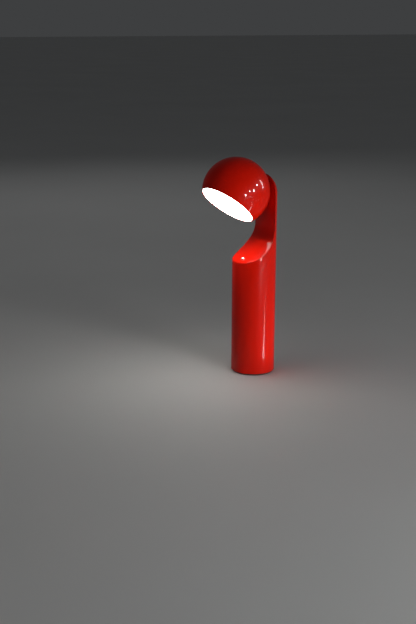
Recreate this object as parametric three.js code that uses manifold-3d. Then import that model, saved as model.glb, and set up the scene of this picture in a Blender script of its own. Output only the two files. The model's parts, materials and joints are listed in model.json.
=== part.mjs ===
// A small table lamp: a capsule-shaped tube, cut away at the front by a hollow scoop,
// with a ball head held close to the flat front of the stem that the scoop leaves.
// Millimetres, +Z up. The origin is the centre of the foot's underside, -Y is the lamp's front.

import * as THREE from 'three';
import { mergeVertices } from 'three/addons/utils/BufferGeometryUtils.js';
import Module from 'manifold-3d';

const wasm = await Module();
wasm.setup();

const GAP = 0.3;                 // clearance between pieces that touch
const PAST = 1;                  // a cutting tool runs this far past the face that it opens
const FINE = 64;                 // sides of the largest rounds, down to those of nuts
const ROUND = 40;
const MEDIUM = 20;
const COARSE = 12;
const THIN = 8;
const HEX = 6;

// Body tube
const TUBE_R = 40;
const TUBE_WALL = 2;
const DOME_Z = 333;              // height of the centre of the domed top
const DOME_STEPS = 12;
const STEM_DEPTH = 18;           // thickness of the stem at its middle
const STEM_RISE = 60.5;          // flat part of the stem, from the scoop to the dome's centre
const SCOOP_REACH = 81;          // quarter ellipse of the scoop, from back to front
const SCOOP_FALL = 64;           // the same ellipse, from top to bottom
const SCOOP_STEPS = 20;
const PLATE_T = 2;

// Screws
const M4_R = 2;
const M4_HEAD_R = 3.5;
const M4_HEAD_H = 1.4;
const M3_R = 1.5;
const M3_HEAD_R = 3;
const M3_HEAD_H = 1.8;
const HOLE_PLAY = 0.3;           // a screw's hole is this much wider, on radius
const END_PLAY = 2;              // a blind hole is this much deeper than its screw

// Foot and ballast
const FOOT_H = 3;
const FOOT_INSET = 2.5;          // the foot stands back from the tube's outside
const BASE_PLATE_T = 2.5;
const BASE_SCREW_INSET = 7;      // from the tube's inside to the base screws' axes
const WEIGHT_H = 28;
const WEIGHT_PLAY = 0.5;
const WEIGHT_THREAD = 0.6;       // share of the weight's height that the base screws' holes take

// Power inlet
const INLET_Z = 23;
const INLET_R = 4.5;
const INLET_DEPTH = 14;
const INLET_BEZEL_R = 6.5;
const INLET_BEZEL_T = 1.5;
const INLET_BORE_R = 2.8;
const INLET_BORE_DEPTH = 7.7;
const INLET_PIN_R = 1;
const INLET_NUT_R = 7;
const INLET_NUT_T = 2.8;
const NOTCH_HALF = 8.5;          // half the width of the slot in the weight behind the inlet
const NOTCH_ROOM = 8;            // from the inlet's rear to the end of that slot

// Driver board on its bracket
const BOARD_W = 44;
const BOARD_H = 86;
const BOARD_T = 1.6;
const BOARD_LIFT = 8;            // board's lower edge above the weight
const BOARD_STANDOFF = 4;
const BOARD_SCREW_INSET = 6;
const SPACER_R = 3;
const BRACKET_T = 1.5;
const BRACKET_Y = -8;
const BRACKET_W = 40;
const BRACKET_ROOM = 6;          // from the bracket's foot to the inlet's slot in the weight
const BRACKET_SCREW_X = 12;
const BRACKET_SCREW_EDGE = 7;
const BRACKET_SCREW_L = 9;
const COIL = { radius: 9, bore: 3, height: 7, x: -9, lift: 26 };
const CAPACITOR = { radius: 5, height: 11, x: 10, lift: 24 };
const DRIVER_CHIP = { half: 4, height: 2, x: 8, lift: 52 };

// Button, and the switch under it
const BUTTON_INSET = 16;         // from the tube's front to the button's axis
const BUTTON_R = 3.9;
const BUTTON_RISE = 2.6;
const BUTTON_SKIRT = 0.9;
const BUTTON_TRAVEL = 0.8;
const BUTTON_FLANGE_R = 5.07;
const BUTTON_FLANGE_T = 1.2;
const BUTTON_STEPS = 6;
const PLUNGER_R = 1.7;
const PLUNGER_L = 3.6;
const SWITCH_HALF = 4.5;
const SWITCH_H = 5;
const SWITCH_BOARD_HALF = [11, 6];
const SWITCH_BRACKET_HALF = [13.5, 5];

// Leads
const WIRE_R = 1.2;
const SUPPLY_X = 14;             // where the leads meet the driver board, left and right
const STEM_LEAD_X = 12;
const LEAD_INSET = 12;           // from the board's lower and upper edges to the leads' ends
const LEAD_BACK = 2.4;           // from the tube's inside to the stem lead's axis

// Head
const HEAD_R = 61;
const HEAD_WALL = 1.5;
const HEAD_STEPS = 14;
const HEAD_GAP = 0.8;            // between the ball and the flat of the stem
const HEAD_RISE = 6;             // ball's centre above the dome's centre
const MOUTH_DROP = 30.4;         // from the ball's centre to the flat mouth
const DROP = 50.5;               // degrees that the light points below level, at rest
const SWIVEL = 6.5;              // degrees that the head is turned to the right, at rest
const DROP_MIN = 15;
const DROP_MAX = 85;
const SLOT_PLAY = 0.4;           // the slot is this much wider than the spindle, on each side
const SLOT_DEPTH = 5;            // the slot's cutting tool reaches this far past the wall

// Swivel through the stem
const SPINDLE_R = 4.9;
const SPINDLE_END_R = 3.9;
const SPINDLE_BORE_R = 2.2;
const SPINDLE_START = 3.5;       // from the ball's centre
const BUSH_R = 6;
const FLANGE_R = 9.5;
const STACK_GAPS = 6;
const LEAD_ROOM = 6.2;           // between the spindle's rear end and the tube's inside
const PIN_R = 1;
const PIN_CIRCLE = 11.5;         // from the swivel's axis to the stop pin
const KEY_HALF = 1.5;            // half the width of the key that meets the pin

// Tilt pivot at the ball's centre
const PIVOT_R = 7;
const PIVOT_HALF = 6.5;
const TILT_SCREW_R = 2.3;
const TILT_SCREW_HEAD_R = 4;
const TILT_SCREW_START = 3.1;
const TILT_WASHER_T = 0.8;
const CHEEK_T = 1.5;
const CHEEK_FOOT = 8;
const SHIELD_T = 1;
const SHIELD_MARGIN = 3.5;       // the shield is wider than the spindle by this much on each side
const SHIELD_BELOW = 15;         // degrees that the shield covers below and above the spindle
const SHIELD_ABOVE = 46;

// Light unit
const DIFFUSER_T = 2;
const RIM_T = 1.5;               // flat rim of the reflector, above the diffuser
const CARRIER_TOP = 12;          // below the ball's centre
const CARRIER_T = 2;
const CARRIER_INSET = 9.3;       // from the lugs' screws in to the carrier's flat top
const LUG_INSET = 3.85;          // from the mouth's inside to the lugs' screws
const LUG_HALF = 3;
const LUG_H = 5;
const LUG_SCREW_HEAD_R = 2.7;
const LUG_SCREW_HEAD_H = 1.4;
const RIVET_HEAD_R = 2.4;
const RIVETS = [-4.5, 4.5];
const LEAD_Y = -15;              // lead's hole in the carrier
const LEAD_START = 9.5;          // from the ball's centre to the lead's upper end
const LED_BOARD_R = 22;
const LED_BOARD_T = 1.5;
const LED_R = 10;
const LED_T = 1;
const CONE_T = 1;

// Worked out from the sizes above
const INNER_R = TUBE_R - TUBE_WALL;
const FACE_Y = TUBE_R - STEM_DEPTH;
const SCOOP_TOP_Z = DOME_Z - STEM_RISE;
const SCOOP_FRONT_Y = FACE_Y - SCOOP_REACH;
const HEAD_Y = FACE_Y - HEAD_GAP - HEAD_R;
const HEAD_Z = DOME_Z + HEAD_RISE;
const PLATE_BASE_Z = FOOT_H + GAP;
const WEIGHT_Z = PLATE_BASE_Z + BASE_PLATE_T + GAP;
const WEIGHT_TOP_Z = WEIGHT_Z + WEIGHT_H;
const NOTCH_Y = TUBE_R - INLET_DEPTH - NOTCH_ROOM;
const BRACKET_FRONT = NOTCH_Y - BRACKET_ROOM;
const BRACKET_SCREWS = [-1, 1].map((side) => [side * BRACKET_SCREW_X, BRACKET_FRONT - BRACKET_SCREW_EDGE]);
const BOARD_Z = WEIGHT_TOP_Z + BOARD_LIFT;
const BOARD_TOP_Z = BOARD_Z + BOARD_H;
const BOARD_BACK_Y = BRACKET_Y + BRACKET_T + 2 * GAP + BOARD_STANDOFF;
const BOARD_FACE_Y = BOARD_BACK_Y + BOARD_T;
const BUTTON_Y = BUTTON_INSET - TUBE_R;
const HEAD_INNER_R = HEAD_R - HEAD_WALL;
const MOUTH_R = Math.sqrt(HEAD_INNER_R ** 2 - MOUTH_DROP ** 2);
const LUG_CIRCLE = MOUTH_R - LUG_INSET;
const DIFFUSER_TOP = DIFFUSER_T + GAP - MOUTH_DROP;
const HEADS_LOW = DIFFUSER_TOP + GAP + RIM_T;
const CARRIER_LOW = HEADS_LOW + LUG_SCREW_HEAD_H + 2 * GAP;
const FLANGE_Z = CARRIER_LOW + CARRIER_T;
const CHEEK_INSIDE = PIVOT_HALF + TILT_WASHER_T + 2 * GAP;

// The swivel's pieces share the stem's depth; heights run back from its flat front
const STACK = STEM_DEPTH - TUBE_WALL - PLATE_T - LEAD_ROOM - STACK_GAPS * GAP;
const BUSH_FLANGE_T = 0.20 * STACK;
const WASHER_T = 0.13 * STACK;
const SPRING_T = 0.17 * STACK;
const NUT_T = 0.37 * STACK;
const BUSH_BORE = SPINDLE_END_R + GAP;
const BUSH_BACK = PLATE_T + GAP + BUSH_FLANGE_T;
const FRICTION_AT = BUSH_BACK + GAP;
const KEY_AT = FRICTION_AT + WASHER_T + GAP;
const SPRING_AT = KEY_AT + WASHER_T + GAP;
const NUT_AT = SPRING_AT + SPRING_T + GAP;
const SPINDLE_REACH = NUT_AT + NUT_T + GAP;

const RED = { color: 0xb80a05, roughness: 0.22, metalness: 0 };
const STEEL = { color: 0xa9abad, roughness: 0.4, metalness: 1 };
const IRON = { color: 0x3b3c3e, roughness: 0.8, metalness: 0.6 };
const BRASS = { color: 0xc8a35a, roughness: 0.3, metalness: 1 };
const ALUMINIUM = { color: 0xc4c6c8, roughness: 0.45, metalness: 1 };
const RUBBER = { color: 0x141414, roughness: 0.9, metalness: 0 };
const BLACK = { color: 0x1b1b1d, roughness: 0.55, metalness: 0 };
const NYLON = { color: 0xe6e2d6, roughness: 0.6, metalness: 0 };
const WHITE = { color: 0xf5f5f2, roughness: 0.5, metalness: 0 };
const OPAL = { color: 0xffffff, roughness: 0.4, metalness: 0, emissive: 0xffffff };
const BOARD = { color: 0x1d5a34, roughness: 0.5, metalness: 0 };
const PHOSPHOR = { color: 0xf2d24a, roughness: 0.5, metalness: 0 };
const INSULATION = { color: 0x8c8f93, roughness: 0.6, metalness: 0 };

const radians = THREE.MathUtils.degToRad;

const lamp = new THREE.Group();
const swivel = new THREE.Group();
const head = new THREE.Group();
swivel.position.set(0, HEAD_Y, HEAD_Z);
swivel.rotation.y = -radians(SWIVEL);
head.rotation.x = -radians(90 - DROP);
swivel.add(head);
lamp.add(swivel);

function place(parent, name, geometry, look, x = 0, y = 0, z = 0) {
  const mesh = new THREE.Mesh(geometry, new THREE.MeshStandardMaterial(look));
  mesh.name = name;
  mesh.position.set(x, y, z);
  parent.add(mesh);
}

// A closed profile of [radius, height] points, turned about Y.
function turnedY(profile, segments = COARSE) {
  const points = profile.map(([radius, height]) => new THREE.Vector2(radius, height));
  return new THREE.LatheGeometry(points, segments);
}

function turnedZ(profile, segments = COARSE) {
  return turnedY(profile, segments).rotateX(Math.PI / 2);
}

function turnedX(profile, segments = COARSE) {
  return turnedY(profile, segments).rotateZ(-Math.PI / 2);
}

function rod(radius, from, to) {
  return [[0, from], [radius, from], [radius, to], [0, to]];
}

function ring(inner, outer, from, to) {
  return [[inner, from], [outer, from], [outer, to], [inner, to], [inner, from]];
}

// A screw's profile: its head stands above height 0 and its shank runs down from there.
function screw(headR, headH, shankR, length) {
  return [[0, -length], [shankR, -length], [shankR, 0], [headR, 0], [headR, headH], [0, headH]];
}

function box(x0, x1, y0, y1, z0, z1) {
  const geometry = new THREE.BoxGeometry(x1 - x0, y1 - y0, z1 - z0);
  return geometry.translate((x0 + x1) / 2, (y0 + y1) / 2, (z0 + z1) / 2);
}

// A flat outline in Y and Z, made as thick as width along X and centred on it.
function prismX(outline, width, curveSegments = COARSE) {
  const geometry = new THREE.ExtrudeGeometry(outline, { depth: width, bevelEnabled: false, curveSegments });
  geometry.translate(0, 0, -width / 2);
  const x = new THREE.Vector3(0, 1, 0);
  const y = new THREE.Vector3(0, 0, 1);
  const z = new THREE.Vector3(1, 0, 0);
  return geometry.applyMatrix4(new THREE.Matrix4().makeBasis(x, y, z));
}

function solid(geometry) {
  const bare = geometry.clone();
  bare.deleteAttribute('normal');
  bare.deleteAttribute('uv');
  const merged = mergeVertices(bare);
  const corners = merged.index.array;
  const kept = [];
  for (let i = 0; i < corners.length; i += 3) {
    const [a, b, c] = corners.slice(i, i + 3);
    if (a !== b && b !== c && c !== a) kept.push(a, b, c);
  }
  const vertProperties = merged.attributes.position.array;
  return new wasm.Manifold(new wasm.Mesh({ numProp: 3, vertProperties, triVerts: new Uint32Array(kept) }));
}

function surface(manifold) {
  const mesh = manifold.getMesh();
  const geometry = new THREE.BufferGeometry();
  geometry.setAttribute('position', new THREE.BufferAttribute(mesh.vertProperties, 3));
  geometry.setIndex(new THREE.BufferAttribute(mesh.triVerts, 1));
  geometry.computeVertexNormals();
  return geometry;
}

function cut(geometry, ...tools) {
  return surface(tools.reduce((body, tool) => body.subtract(solid(tool)), solid(geometry)));
}

function shared(geometry, other) {
  return surface(solid(geometry).intersect(solid(other)));
}

// The same piece at count places, turned by equal steps about Z from a first angle.
function around(count, radius, firstDegrees) {
  return Array.from({ length: count }, (_, i) => {
    const angle = radians(firstDegrees + (i * 360) / count);
    return { angle, x: radius * Math.cos(angle), y: radius * Math.sin(angle) };
  });
}

function wire(points, steps) {
  const route = new THREE.CatmullRomCurve3(points, false, 'centripetal');
  const section = new THREE.Shape().absarc(0, 0, WIRE_R, 0, 2 * Math.PI);
  return new THREE.ExtrudeGeometry(section, { steps, extrudePath: route, curveSegments: 4 });
}

// ---- Body tube and the plate that closes the scoop ----

// The scoop's line in Y and Z, level at the front and upright at the stem, moved into the metal by offset.
function scoopLine(offset) {
  const points = [];
  for (let i = 0; i <= SCOOP_STEPS; i += 1) {
    const t = (Math.PI / 2) * (1 - i / SCOOP_STEPS);
    const across = Math.cos(t) / SCOOP_REACH;
    const down = Math.sin(t) / SCOOP_FALL;
    const scale = offset / Math.hypot(across, down);
    const y = SCOOP_FRONT_Y + SCOOP_REACH * Math.cos(t) + across * scale;
    const z = SCOOP_TOP_Z - SCOOP_FALL * Math.sin(t) - down * scale;
    points.push(new THREE.Vector2(y, z));
  }
  const far = SCOOP_FRONT_Y - TUBE_R;
  points.unshift(new THREE.Vector2(far, SCOOP_TOP_Z - SCOOP_FALL - offset));
  points.push(new THREE.Vector2(FACE_Y + offset, DOME_Z + 2 * TUBE_R));
  return points;
}

function capsule(radius, bottom) {
  const profile = [[0, bottom], [radius, bottom]];
  for (let i = 0; i < DOME_STEPS; i += 1) {
    const angle = (i / DOME_STEPS) * (Math.PI / 2);
    profile.push([radius * Math.cos(angle), DOME_Z + radius * Math.sin(angle)]);
  }
  profile.push([0, DOME_Z + radius]);
  return turnedZ(profile, FINE);
}

function scoopSlope(y) {
  const across = (y - SCOOP_FRONT_Y) / SCOOP_REACH;
  return Math.atan((SCOOP_FALL / SCOOP_REACH) * across / Math.sqrt(1 - across * across));
}

function scoopHeight(y) {
  const across = (y - SCOOP_FRONT_Y) / SCOOP_REACH;
  return SCOOP_TOP_Z - SCOOP_FALL * Math.sqrt(1 - across * across);
}

const button = new THREE.Group();
button.position.set(0, BUTTON_Y, scoopHeight(BUTTON_Y));
button.rotation.x = scoopSlope(BUTTON_Y);
lamp.add(button);
button.updateMatrix();

function bodyTube() {
  const front = scoopLine(0);
  front.push(new THREE.Vector2(SCOOP_FRONT_Y - TUBE_R, DOME_Z + 2 * TUBE_R));
  const removed = prismX(new THREE.Shape(front), 3 * TUBE_R);
  const hollow = capsule(INNER_R, 0);
  const inlet = turnedY(rod(INLET_R + HOLE_PLAY, 0, TUBE_R + PAST)).translate(0, 0, INLET_Z);
  place(lamp, 'body_tube', cut(capsule(TUBE_R, FOOT_H), hollow, removed, inlet), RED);
}

function scoopPlate() {
  const outline = new THREE.Shape([...scoopLine(0), ...scoopLine(PLATE_T).reverse()]);
  const past = 4 * PLATE_T;
  const plate = shared(prismX(outline, 2 * TUBE_R), capsule(INNER_R - GAP, FOOT_H));
  const buttonHole = turnedZ(rod(BUTTON_R + HOLE_PLAY, -past, past), MEDIUM).applyMatrix4(button.matrix);
  const spindleHole = turnedY(rod(BUSH_R + GAP, -past, past), MEDIUM).translate(0, FACE_Y, HEAD_Z);
  place(lamp, 'scoop_plate', cut(plate, buttonHole, spindleHole), RED);
}

// ---- Foot and ballast ----

function foot() {
  const screws = around(3, INNER_R - BASE_SCREW_INSET, -90);
  const recess = M4_HEAD_H + 2 * GAP;
  const reach = WEIGHT_THREAD * WEIGHT_H;
  const hole = turnedZ(rod(M4_R + HOLE_PLAY, -PAST, BASE_PLATE_T + PAST));
  const sink = turnedZ(rod(M4_HEAD_R + HOLE_PLAY, -PAST, recess));
  const blind = turnedZ(rod(M4_R + HOLE_PLAY, -PAST, reach));
  const bracketHole = turnedZ(rod(M3_R + HOLE_PLAY, WEIGHT_H - BRACKET_SCREW_L, WEIGHT_H + PAST));
  const plateHoles = screws.flatMap(({ x, y }) => [hole, sink].map((tool) => tool.clone().translate(x, y, 0)));
  const weightHoles = screws.map(({ x, y }) => blind.clone().translate(x, y, 0));
  const bracketHoles = BRACKET_SCREWS.map(([x, y]) => bracketHole.clone().translate(x, y, 0));
  const notch = box(-NOTCH_HALF, NOTCH_HALF, NOTCH_Y, 2 * TUBE_R, -PAST, WEIGHT_H + PAST);
  const weight = turnedZ(rod(INNER_R - WEIGHT_PLAY, 0, WEIGHT_H), FINE);
  place(lamp, 'foot_pad', turnedZ(rod(TUBE_R - FOOT_INSET, 0, FOOT_H), FINE), RUBBER);
  const plate = turnedZ(rod(INNER_R - GAP, 0, BASE_PLATE_T), FINE);
  place(lamp, 'base_plate', cut(plate, ...plateHoles), STEEL, 0, 0, PLATE_BASE_Z);
  place(lamp, 'base_weight', cut(weight, notch, ...weightHoles, ...bracketHoles), IRON, 0, 0, WEIGHT_Z);
  const length = BASE_PLATE_T - recess + 2 * GAP + reach - END_PLAY;
  screws.forEach(({ x, y }, i) => {
    const shape = turnedZ(screw(M4_HEAD_R, M4_HEAD_H, M4_R, length)).rotateX(Math.PI);
    place(lamp, `base_screw_${i + 1}`, shape, STEEL, x, y, PLATE_BASE_Z + recess - GAP);
  });
}

// ---- Power inlet ----

function powerInlet() {
  const mouth = GAP + INLET_BEZEL_T;
  const floor = -INLET_BORE_DEPTH;
  const body = turnedY([
    [0, -INLET_DEPTH], [INLET_R, -INLET_DEPTH], [INLET_R, GAP], [INLET_BEZEL_R, GAP],
    [INLET_BEZEL_R, mouth], [INLET_BORE_R, mouth], [INLET_BORE_R, floor],
    [INLET_PIN_R, floor], [INLET_PIN_R, 0], [0, 0],
  ], MEDIUM);
  place(lamp, 'dc_inlet', body, BLACK, 0, TUBE_R, INLET_Z);
  const nutTop = Math.sqrt(INNER_R ** 2 - INLET_NUT_R ** 2) - GAP;
  const bore = turnedY(rod(INLET_R + HOLE_PLAY, -INLET_NUT_T - PAST, PAST));
  const nut = cut(turnedY(rod(INLET_NUT_R, -INLET_NUT_T, 0), HEX), bore);
  place(lamp, 'inlet_nut', nut, STEEL, 0, nutTop, INLET_Z);
}

// ---- Driver board on its bracket ----

function driver() {
  const floor = WEIGHT_TOP_Z + GAP;
  const top = BOARD_TOP_Z;
  const outline = new THREE.Shape([
    new THREE.Vector2(BRACKET_Y, floor),
    new THREE.Vector2(BRACKET_FRONT, floor),
    new THREE.Vector2(BRACKET_FRONT, floor + BRACKET_T),
    new THREE.Vector2(BRACKET_Y + BRACKET_T, floor + BRACKET_T),
    new THREE.Vector2(BRACKET_Y + BRACKET_T, top),
    new THREE.Vector2(BRACKET_Y, top),
  ]);
  const footHole = turnedZ(rod(M3_R + HOLE_PLAY, 0, top));
  const footHoles = BRACKET_SCREWS.map(([x, y]) => footHole.clone().translate(x, y, 0));
  const boardScrews = [BOARD_Z + BOARD_SCREW_INSET, top - BOARD_SCREW_INSET];
  const boardHole = turnedY(rod(M3_R + HOLE_PLAY, -TUBE_R, TUBE_R));
  const boardHoles = boardScrews.map((z) => boardHole.clone().translate(0, 0, z));
  place(lamp, 'board_bracket', cut(prismX(outline, BRACKET_W), ...footHoles, ...boardHoles), STEEL);
  BRACKET_SCREWS.forEach(([x, y], i) => {
    const shape = turnedZ(screw(M3_HEAD_R, M3_HEAD_H, M3_R, BRACKET_SCREW_L));
    place(lamp, `bracket_screw_${i + 1}`, shape, STEEL, x, y, floor + BRACKET_T + GAP);
  });
  const board = box(-BOARD_W / 2, BOARD_W / 2, BOARD_BACK_Y, BOARD_FACE_Y, BOARD_Z, top);
  place(lamp, 'driver_board', cut(board, ...boardHoles), BOARD);
  const front = BOARD_FACE_Y + GAP;
  const shank = BOARD_T + BOARD_STANDOFF + BRACKET_T + 3 * GAP;
  boardScrews.forEach((z, i) => {
    const spacer = turnedY(ring(M3_R + HOLE_PLAY, SPACER_R, 0, BOARD_STANDOFF));
    const shape = turnedY(screw(M3_HEAD_R, M3_HEAD_H, M3_R, shank));
    place(lamp, `board_spacer_${i + 1}`, spacer, NYLON, 0, BRACKET_Y + BRACKET_T + GAP, z);
    place(lamp, `board_screw_${i + 1}`, shape, STEEL, 0, front, z);
  });
  const coil = turnedY(ring(COIL.bore, COIL.radius, 0, COIL.height), MEDIUM);
  place(lamp, 'driver_coil', coil, BRASS, COIL.x, front, BOARD_Z + COIL.lift);
  const capacitor = turnedY(rod(CAPACITOR.radius, 0, CAPACITOR.height));
  place(lamp, 'driver_capacitor', capacitor, BLACK, CAPACITOR.x, front, BOARD_Z + CAPACITOR.lift);
  const { half } = DRIVER_CHIP;
  const chip = box(-half, half, 0, DRIVER_CHIP.height, -half, half);
  place(lamp, 'driver_chip', chip, BLACK, DRIVER_CHIP.x, front, BOARD_Z + DRIVER_CHIP.lift);
}

// ---- Button and the switch under it; Z here is the button's own axis ----

function buttonUnit() {
  const under = -PLATE_T - 2 * GAP;
  const flangeLow = under - BUTTON_FLANGE_T;
  const bulge = BUTTON_RISE - BUTTON_SKIRT;
  const domeR = (BUTTON_R ** 2 + bulge ** 2) / (2 * bulge);
  const profile = [[0, flangeLow], [BUTTON_FLANGE_R, flangeLow], [BUTTON_FLANGE_R, under], [BUTTON_R, under]];
  const half = Math.asin(BUTTON_R / domeR);
  for (let i = 0; i < BUTTON_STEPS; i += 1) {
    const angle = half * (1 - i / BUTTON_STEPS);
    profile.push([domeR * Math.sin(angle), BUTTON_RISE - domeR + domeR * Math.cos(angle)]);
  }
  profile.push([0, BUTTON_RISE]);
  place(button, 'button_cap', turnedZ(profile, MEDIUM), BRASS);
  const plungerTop = flangeLow - GAP;
  const plungerLow = plungerTop - PLUNGER_L;
  place(button, 'switch_plunger', turnedZ(rod(PLUNGER_R, plungerLow, plungerTop)), BLACK);
  const switchTop = flangeLow - BUTTON_TRAVEL - GAP;
  const switchLow = switchTop - SWITCH_H;
  const well = turnedZ(rod(PLUNGER_R + HOLE_PLAY, plungerLow - BUTTON_TRAVEL - GAP, switchTop + PAST));
  const housing = box(-SWITCH_HALF, SWITCH_HALF, -SWITCH_HALF, SWITCH_HALF, switchLow, switchTop);
  place(button, 'switch_body', cut(housing, well), BLACK);
  const boardTop = switchLow - GAP;
  const boardLow = boardTop - BOARD_T;
  const [boardX, boardY] = SWITCH_BOARD_HALF;
  place(button, 'switch_board', box(-boardX, boardX, -boardY, boardY, boardLow, boardTop), BOARD);
  const floor = boardLow - GAP;
  const [wide, deep] = SWITCH_BRACKET_HALF;
  const outer = box(-wide, wide, -deep, deep, floor - BRACKET_T, -PLATE_T - GAP);
  const inner = box(BRACKET_T - wide, wide - BRACKET_T, -2 * deep, 2 * deep, floor, 0);
  place(button, 'switch_bracket', cut(outer, inner), STEEL);

  const middle = (boardTop + boardLow) / 2;
  const from = new THREE.Vector3(0, boardY + GAP, middle).applyMatrix4(button.matrix);
  const next = new THREE.Vector3(0, 2 * boardY, middle - PAST).applyMatrix4(button.matrix);
  const route = [
    from, next,
    new THREE.Vector3(-SUPPLY_X / 2, boardY, (next.z + BOARD_TOP_Z) / 2),
    new THREE.Vector3(-SUPPLY_X, boardY + 3, BOARD_TOP_Z - 2),
    new THREE.Vector3(-SUPPLY_X, boardY + 2, BOARD_TOP_Z - LEAD_INSET + 3),
    new THREE.Vector3(-SUPPLY_X, BOARD_FACE_Y + GAP, BOARD_TOP_Z - LEAD_INSET + 1),
  ];
  place(lamp, 'switch_wire', wire(route, MEDIUM), INSULATION);
}

// ---- Leads inside the body ----

// Each lead ends with a short straight stretch, square to what it meets.
function bodyWires() {
  const low = BOARD_Z + LEAD_INSET;
  const high = BOARD_TOP_Z - LEAD_INSET - 2;
  const front = BOARD_FACE_Y + GAP;
  const inletEnd = TUBE_R - INLET_DEPTH - GAP;
  const supply = [
    [0, inletEnd, INLET_Z], [0, inletEnd - WIRE_R, INLET_Z], [0, inletEnd - 4, INLET_Z + 3],
    [0, NOTCH_Y + 2.5, INLET_Z + 8], [4, NOTCH_Y + 1, WEIGHT_TOP_Z + 4],
    [SUPPLY_X - 2, SUPPLY_X - 2, low - 2], [SUPPLY_X, front + 4.5, low], [SUPPLY_X, front, low],
  ];
  place(lamp, 'supply_wire', wire(supply.map((point) => new THREE.Vector3(...point)), MEDIUM), INSULATION);
  const back = INNER_R - LEAD_BACK;
  const rear = FACE_Y + SPINDLE_REACH + GAP;
  const stem = [
    [STEM_LEAD_X, front, high], [STEM_LEAD_X, front + 4.5, high + 1], [9, 16, high + 14],
    [4, back - 6, high + 50], [0, back, SCOOP_TOP_Z - 20], [0, back, HEAD_Z - 30],
    [0, back, HEAD_Z - 6], [0, back - 0.9, HEAD_Z - 1.3], [0, rear + 1.4, HEAD_Z], [0, rear, HEAD_Z],
  ];
  place(lamp, 'stem_wire', wire(stem.map((point) => new THREE.Vector3(...point)), 36), INSULATION);
}

// ---- Swivel: a hollow spindle through the flat of the stem ----

function swivelStack() {
  const bush = turnedY([
    [BUSH_BORE, GAP], [BUSH_R, GAP], [BUSH_R, PLATE_T + GAP], [FLANGE_R, PLATE_T + GAP],
    [FLANGE_R, BUSH_BACK], [BUSH_BORE, BUSH_BACK], [BUSH_BORE, GAP],
  ], MEDIUM);
  place(lamp, 'spindle_bush', bush, NYLON, 0, FACE_Y, HEAD_Z);
  const friction = turnedY(ring(BUSH_BORE, FLANGE_R, FRICTION_AT, FRICTION_AT + WASHER_T), MEDIUM);
  place(lamp, 'friction_washer', friction, BLACK, 0, FACE_Y, HEAD_Z);
  const pin = turnedY(rod(PIN_R, PLATE_T + GAP, SPRING_AT));
  place(lamp, 'stop_pin', pin, STEEL, 0, FACE_Y, HEAD_Z - PIN_CIRCLE);

  const flat = HEAD_GAP + HEAD_R;
  const disc = solid(turnedY(rod(FLANGE_R, KEY_AT, KEY_AT + WASHER_T), MEDIUM));
  const tab = solid(box(-KEY_HALF, KEY_HALF, KEY_AT, KEY_AT + WASHER_T, BUSH_R, PIN_CIRCLE + KEY_HALF));
  const keyed = disc.add(tab).subtract(solid(turnedY(rod(BUSH_BORE, 0, 2 * KEY_AT), MEDIUM)));
  place(swivel, 'key_washer', surface(keyed), STEEL, 0, flat, 0);
  const springR = FLANGE_R - KEY_HALF;
  const spring = turnedY([
    [BUSH_BORE, SPRING_AT + SPRING_T / 2], [springR, SPRING_AT], [springR, SPRING_AT + SPRING_T / 2],
    [BUSH_BORE, SPRING_AT + SPRING_T], [BUSH_BORE, SPRING_AT + SPRING_T / 2],
  ], MEDIUM);
  place(swivel, 'spring_washer', spring, STEEL, 0, flat, 0);
  const nutBore = turnedY(rod(BUSH_BORE, 0, SPINDLE_REACH + PAST));
  const nut = cut(turnedY(rod(FLANGE_R - 2 * PIN_R, NUT_AT, NUT_AT + NUT_T), HEX), nutBore);
  place(swivel, 'spindle_nut', nut, STEEL, 0, flat, 0);

  const rear = flat + SPINDLE_REACH;
  const spindle = turnedY([
    [SPINDLE_BORE_R, SPINDLE_START], [SPINDLE_R, SPINDLE_START], [SPINDLE_R, flat],
    [SPINDLE_END_R, flat], [SPINDLE_END_R, rear], [SPINDLE_BORE_R, rear],
    [SPINDLE_BORE_R, SPINDLE_START],
  ], MEDIUM);
  place(swivel, 'swivel_spindle', spindle, STEEL);
  const lead = turnedY(rod(WIRE_R, -PIVOT_R, rear), THIN);
  place(swivel, 'spindle_wire', lead, INSULATION);
}

// ---- Tilt pivot at the ball's centre; X is the tilt axis ----

function tiltPivot() {
  const socket = turnedY(rod(SPINDLE_R + GAP, SPINDLE_START - GAP, 2 * PIVOT_R), MEDIUM);
  const leadHole = turnedY(rod(WIRE_R + GAP, -2 * PIVOT_R, 2 * PIVOT_R), THIN);
  const tapped = [-1, 1].map((side) => (
    turnedX(rod(TILT_SCREW_R + GAP, TILT_SCREW_START - GAP, 2 * PIVOT_HALF)).rotateZ(side < 0 ? Math.PI : 0)
  ));
  const block = turnedX(rod(PIVOT_R, -PIVOT_HALF, PIVOT_HALF), MEDIUM);
  place(swivel, 'pivot_block', cut(block, socket, leadHole, ...tapped), STEEL);
  const washer = ring(TILT_SCREW_R + GAP, PIVOT_R - PIN_R, 0, TILT_WASHER_T);
  const headAt = CHEEK_INSIDE + CHEEK_T + GAP;
  [['left', -1], ['right', 1]].forEach(([name, side]) => {
    const turn = side < 0 ? Math.PI : 0;
    const between = turnedX(washer).translate(PIVOT_HALF + GAP, 0, 0).rotateZ(turn);
    place(swivel, `tilt_washer_${name}`, between, NYLON);
    const bolt = turnedX(screw(TILT_SCREW_HEAD_R, M3_HEAD_H, TILT_SCREW_R, headAt - TILT_SCREW_START));
    place(swivel, `tilt_screw_${name}`, bolt.translate(headAt, 0, 0).rotateZ(turn), STEEL);
  });
}

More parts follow.
